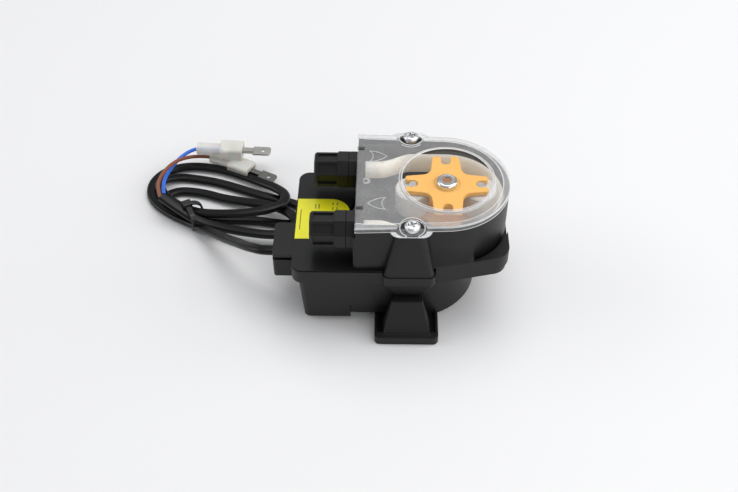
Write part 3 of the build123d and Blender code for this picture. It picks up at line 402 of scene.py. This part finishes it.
def cordProfile():
    data = bpy.data.curves.new("cordSection", "CURVE")
    data.dimensions = "2D"
    line = data.splines.new("POLY")
    line.points.add(flatCord["sides"] - 1)
    reach = flatCord["thick"] / 2
    side = (flatCord["width"] - flatCord["thick"]) / 2
    for number, spot in enumerate(line.points):
        angle = 2 * math.pi * number / flatCord["sides"]
        lean = math.cos(angle)
        x = reach * lean + (side if lean > 0.001 else -side if lean < -0.001 else 0)
        y = reach * math.sin(angle)
        if abs(lean) < flatCord["grooveHalf"]:
            y *= 1 - flatCord["groove"]
        spot.co = (x * 0.001, y * 0.001, 0, 1)
    line.use_cyclic_u = True
    made = bpy.data.objects.new("cordSection", data)
    bpy.context.collection.objects.link(made)
    made.hide_render = True
    made.hide_viewport = True
    return made


section = cordProfile()
mainsCord = curvePiece("mainsCord", cordRoute, "sheath", 6, profile=section)
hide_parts("cord_lead", "cord_hank")
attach(mainsCord, "pump")

leadRoutes = {
    "brown": [
        (-124.4, 38.4, 11.4), (-126.9, 43.8, 13.6), (-126.1, 52.9, 14.2), (-122.4, 63.1, 13.0),
        (-118.2, 71.4, 9.6), (-112.0, 77.4, 6.0), (-103.9, 79.0, 4.0), (-98.0, 76.0, 4.0), (-93.0, 73.5, 4.0),
    ],
    "blue": [
        (-123.1, 41.0, 11.6), (-125.2, 48.6, 10.8), (-124.7, 59.9, 9.2), (-120.7, 71.9, 8.8),
        (-115.9, 76.2, 10.0), (-111.2, 78.0, 10.9), (-104.0, 77.8, 10.9), (-98.0, 77.4, 10.9),
    ],
}
wires = {}
for colour, route in leadRoutes.items():
    wire = curvePiece(colour + "Wire", route, colour + "Wire", 10, radius=0.00095)
    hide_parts(colour + "_wire")
    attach(wire, "pump")
    wires[colour] = wire
print("cord laid")


sharpAngle = math.radians(32)


# Copy of a node with its corners eased, so that moulded and machined edges catch the light
def softened(node, finish, width):
    mesh = nodes[node].data.copy()
    shape = bmesh.new()
    shape.from_mesh(mesh)
    bmesh.ops.remove_doubles(shape, verts=shape.verts, dist=0.000002)
    bmesh.ops.dissolve_limit(
        shape, angle_limit=math.radians(0.6), verts=shape.verts, edges=shape.edges, delimit={"NORMAL"}
    )
    shape.to_mesh(mesh)
    shape.free()
    mesh.materials.clear()
    mesh.materials.append(finishes[finish])
    for face in mesh.polygons:
        face.use_smooth = True
    mesh.set_sharp_from_angle(angle=sharpAngle)
    piece = bpy.data.objects.new(node + "Piece", mesh)
    bpy.context.collection.objects.link(piece)
    edge = piece.modifiers.new("edges", "BEVEL")
    edge.width = width * 0.001
    edge.segments = 2
    edge.limit_method = "ANGLE"
    edge.angle_limit = sharpAngle
    edge.use_clamp_overlap = True
    edge.harden_normals = False
    flat = piece.modifiers.new("faces", "WEIGHTED_NORMAL")
    flat.keep_sharp = True
    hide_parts(node)
    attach(piece, bodyOf[node])
    return piece


edges = {
    "upper_housing": ("black", 0.45, "black_plastic"),
    "lower_housing": ("black", 0.5, "black_plastic"),
    "wall_bracket": ("blackBracket", 0.5, "black_plastic"),
    "inlet_nut": ("blackGloss", 0.35, "black_plastic"),
    "outlet_nut": ("blackGloss", 0.35, "black_plastic"),
    "inlet_fitting": ("blackGloss", 0.25, "black_plastic"),
    "outlet_fitting": ("blackGloss", 0.25, "black_plastic"),
    "spider_upper": ("spider", 0.25, "yellow_plastic"),
    "spider_lower": ("spider", 0.25, "yellow_plastic"),
    "cable_tie": ("tie", 0.25, "black_plastic"),
    "brown_sleeve": ("sleeve", 0.5, "clear_sleeve"),
    "blue_sleeve": ("sleeve", 0.5, "clear_sleeve"),
    "brown_tab": ("tinPaintedShade", 0.08, "tinned_tab"),
    "blue_tab": ("tin", 0.08, "tinned_tab"),
    "cover_screws": ("zinc", 0.12, "zinc_steel"),
    "cover": ("cover", 0.3, "clear_plastic"),
    "rating_label": ("label", 0.03, "yellow_label"),
}
pieces = {}
for node, (finish, width, slotName) in edges.items():
    pieces[node] = softened(node, finish, width)
pieces["cover"].visible_shadow = False  # clear plastic lets the light in

skirt = {
    "start": 8.2, "end": 28.9, "columns": 22, "rows": 12, "top": 38.3, "tall": 12.0, "short": 6.0, "curve": 1.6,
    "slantStart": (14.25, 32.9), "slantEnd": (45.45, 25.8), "wallRadius": 29.7, "arcX": 15.5, "sideY": 31.3,
    "sideSlope": 0.0402, "left": -23.15, "buried": 1.0, "rootDrop": 1.1, "lapDrop": 0.6, "tuck": 0.15,
    "proud": 0.03, "sink": 0.05,
}


# Moulded sweep from the head's wall down onto the rim, beside each screw tower
def skirtBlend(piece):
    shape = bmesh.new()
    shape.from_mesh(piece.data)
    startX, startY = skirt["slantStart"]
    endX, endY = skirt["slantEnd"]
    for side in (-1, 1):
        columns = []
        for number in range(skirt["columns"] + 1):
            share = number / skirt["columns"]
            x = skirt["start"] + (skirt["end"] - skirt["start"]) * share
            rimY = startY - max(0.0, x - startX) * (startY - endY) / (endX - startX)
            if x > skirt["arcX"]:
                wallY = math.sqrt(skirt["wallRadius"] ** 2 - (x - skirt["arcX"]) ** 2)
            else:
                wallY = skirt["sideY"] - skirt["sideSlope"] * (x - skirt["left"])
            height = skirt["tall"] + (skirt["short"] - skirt["tall"]) * share
            ring = [
                (wallY - skirt["buried"], -skirt["rootDrop"]), (rimY - skirt["tuck"], -skirt["rootDrop"]),
                (rimY + skirt["proud"], -skirt["lapDrop"]),
            ]
            for row in range(skirt["rows"] + 1):
                rise = row / skirt["rows"]
                bulge = (rimY - wallY) * (1 - rise) ** skirt["curve"]
                ring.append((wallY + bulge - skirt["sink"] * rise, height * rise))
            ring.append((wallY - skirt["buried"], height))
            columns.append([
                shape.verts.new((x * 0.001, side * y * 0.001, (skirt["top"] + z) * 0.001)) for y, z in ring
            ])
        made = [shape.faces.new(columns[0]), shape.faces.new(columns[-1])]
        for one, other in zip(columns, columns[1:]):
            for low in range(len(one)):
                high = (low + 1) % len(one)
                made.append(shape.faces.new((one[low], one[high], other[high], other[low])))
        bmesh.ops.recalc_face_normals(shape, faces=made)
        for face in made:
            face.smooth = True
    shape.to_mesh(piece.data)
    shape.free()
    piece.data.set_sharp_from_angle(angle=sharpAngle)


skirtBlend(pieces["upper_housing"])

tie = {"middle": (-109.0, 31.5, 5.7), "along": (0.90, 0.43, 0.0), "head": (4.6, 4.2, 3.4), "lift": 4.9, "out": 3.4,
       "rounding": 0.5, "tailWidth": 2.8, "tailThick": 0.9, "tailRadius": 5.2, "tailTurn": 105, "tailSteps": 12,
       "rootIn": 0.3, "rootUp": 0.2}


# Locking head and the cut tail that curls out of it, on top of the strap
def tieHead(piece):
    along = Vector(tie["along"]).normalized()
    outward = Vector((-along.y, along.x, 0.0))
    turnIn = Matrix((along, outward, Vector((0, 0, 1)))).transposed().to_4x4()
    spot = Vector(tie["middle"]) + outward * tie["out"] + Vector((0, 0, tie["lift"]))
    shape = bmesh.new()
    shape.from_mesh(piece.data)
    head = bmesh.ops.create_cube(shape, size=1.0, matrix=Matrix.Diagonal((*tie["head"], 1.0)))["verts"]
    rim = list({edge for vert in head for edge in vert.link_edges})
    rounded = bmesh.ops.bevel(
        shape, geom=rim, offset=tie["rounding"], segments=3, profile=0.5, affect="EDGES", material=-1
    )
    head = list({vert for face in rounded["faces"] for vert in face.verts} | {v for v in head if v.is_valid})
    root = tie["head"][0] / 2 - tie["rootIn"]
    start = bmesh.ops.create_grid(shape, x_segments=1, y_segments=1, size=0.5)["verts"]
    bmesh.ops.scale(shape, verts=start, vec=(tie["tailThick"], tie["tailWidth"], 1.0))
    bmesh.ops.rotate(shape, verts=start, cent=(0, 0, 0), matrix=Matrix.Rotation(math.radians(90), 3, "Y"))
    bmesh.ops.translate(shape, verts=start, vec=(root, 0, tie["rootUp"]))
    face = list({face for vert in start for face in vert.link_faces})
    swept = bmesh.ops.spin(
        shape, geom=face, cent=(root, 0, tie["rootUp"] - tie["tailRadius"]), axis=(0, 1, 0),
        angle=math.radians(tie["tailTurn"]), steps=tie["tailSteps"], use_merge=False,
    )
    moved = head + start + [v for v in swept["geom_last"] if isinstance(v, bmesh.types.BMVert)]
    tail = {v for v in moved if v.is_valid}
    reachOut = list(tail)
    while reachOut:
        vert = reachOut.pop()
        for edge in vert.link_edges:
            other = edge.other_vert(vert)
            if other not in tail:
                tail.add(other)
                reachOut.append(other)
    bmesh.ops.transform(shape, matrix=turnIn, verts=list(tail))
    bmesh.ops.translate(shape, verts=list(tail), vec=spot)
    bmesh.ops.scale(shape, verts=list(tail), vec=(0.001, 0.001, 0.001))
    bmesh.ops.recalc_face_normals(shape, faces=shape.faces)
    shape.to_mesh(piece.data)
    shape.free()


tieHead(pieces["cable_tie"])

plain = {
    "roller_left": "roller", "roller_right": "roller", "roller_pins": "steel", "rotor_cap": "chrome",
    "output_shaft": "shaftTip", "shaft_seal": "seal", "pump_tube": "hose", "inlet_ferrule": "acetal",
    "outlet_ferrule": "acetal", "output_gear": "acetal", "reduction_gear": "acetal", "reduction_pin": "steel",
    "gear_plate_lower": "zinc", "gear_plate_upper": "zinc", "gear_plate_posts": "zinc", "shaft_bush_lower": "bronze",
    "shaft_bush_upper": "bronze", "motor_case": "zinc", "claw_plate_lower": "zinc", "claw_plate_upper": "zinc",
    "motor_coil": "copper", "motor_axle": "steel", "magnet_rotor": "ferrite", "terminal_block": "nylon",
    "terminal_screws": "zinc", "cord_clamp": "black", "housing_screws": "zinc", "cord_inside": "sheath",
    "motor_leads": "brownWire",
}
for node, finish in plain.items():
    nodes[node].data.materials.clear()
    nodes[node].data.materials.append(finishes[finish])
print("pieces dressed")

lengthOf(mainsCord)
for colour, wire in wires.items():
    lengthOf(wire)

studio = {"floor": (0.86, 0.86, 0.865), "floorHalf": 6.0, "sky": (0.97, 0.98, 1.0), "skyPower": 0.38}
floorMesh = bpy.data.meshes.new("floor")
floorShape = bmesh.new()
bmesh.ops.create_grid(floorShape, x_segments=1, y_segments=1, size=studio["floorHalf"])
floorShape.to_mesh(floorMesh)
floorShape.free()
floor = bpy.data.objects.new("floor", floorMesh)
bpy.context.collection.objects.link(floor)
floorMesh.materials.append(Finish("paleFloor", Roughness=0.55, Base_Color=studio["floor"]).material)

world = bpy.data.worlds.new("studio")
world.use_nodes = True
sky = world.node_tree.nodes["Background"]
sky.inputs["Color"].default_value = (*studio["sky"], 1.0)
sky.inputs["Strength"].default_value = studio["skyPower"]
bpy.context.scene.world = world
bpy.context.scene.view_settings.view_transform = "Standard"

lamps = {
    "overhead": {"spot": (0.25, 0.40, 1.4), "aim": (0.0, 0.0, 0.0), "size": (1.5, 1.0), "power": 11.2},
    "fromLeft": {"spot": (-1.4, 0.2, 0.75), "aim": (0.0, 0.0, 0.02), "size": (1.0, 0.9), "power": 5.5},
    "fromRight": {"spot": (1.3, 0.1, 0.7), "aim": (0.0, 0.0, 0.02), "size": (1.0, 0.9), "power": 6.5},
    "fromFront": {"spot": (0.85, -0.95, 0.75), "aim": (0.0, 0.0, 0.02), "size": (1.2, 0.8), "power": 5.0},
}
for name, lamp in lamps.items():
    data = bpy.data.lights.new(name, "AREA")
    data.shape = "RECTANGLE"
    data.size, data.size_y = lamp["size"]
    data.energy = lamp["power"]
    made = bpy.data.objects.new(name, data)
    direction = Vector(lamp["aim"]) - Vector(lamp["spot"])
    made.matrix_world = Matrix.Translation(lamp["spot"]) @ direction.to_track_quat("-Z", "Y").to_matrix().to_4x4()
    bpy.context.collection.objects.link(made)
print("lights set")
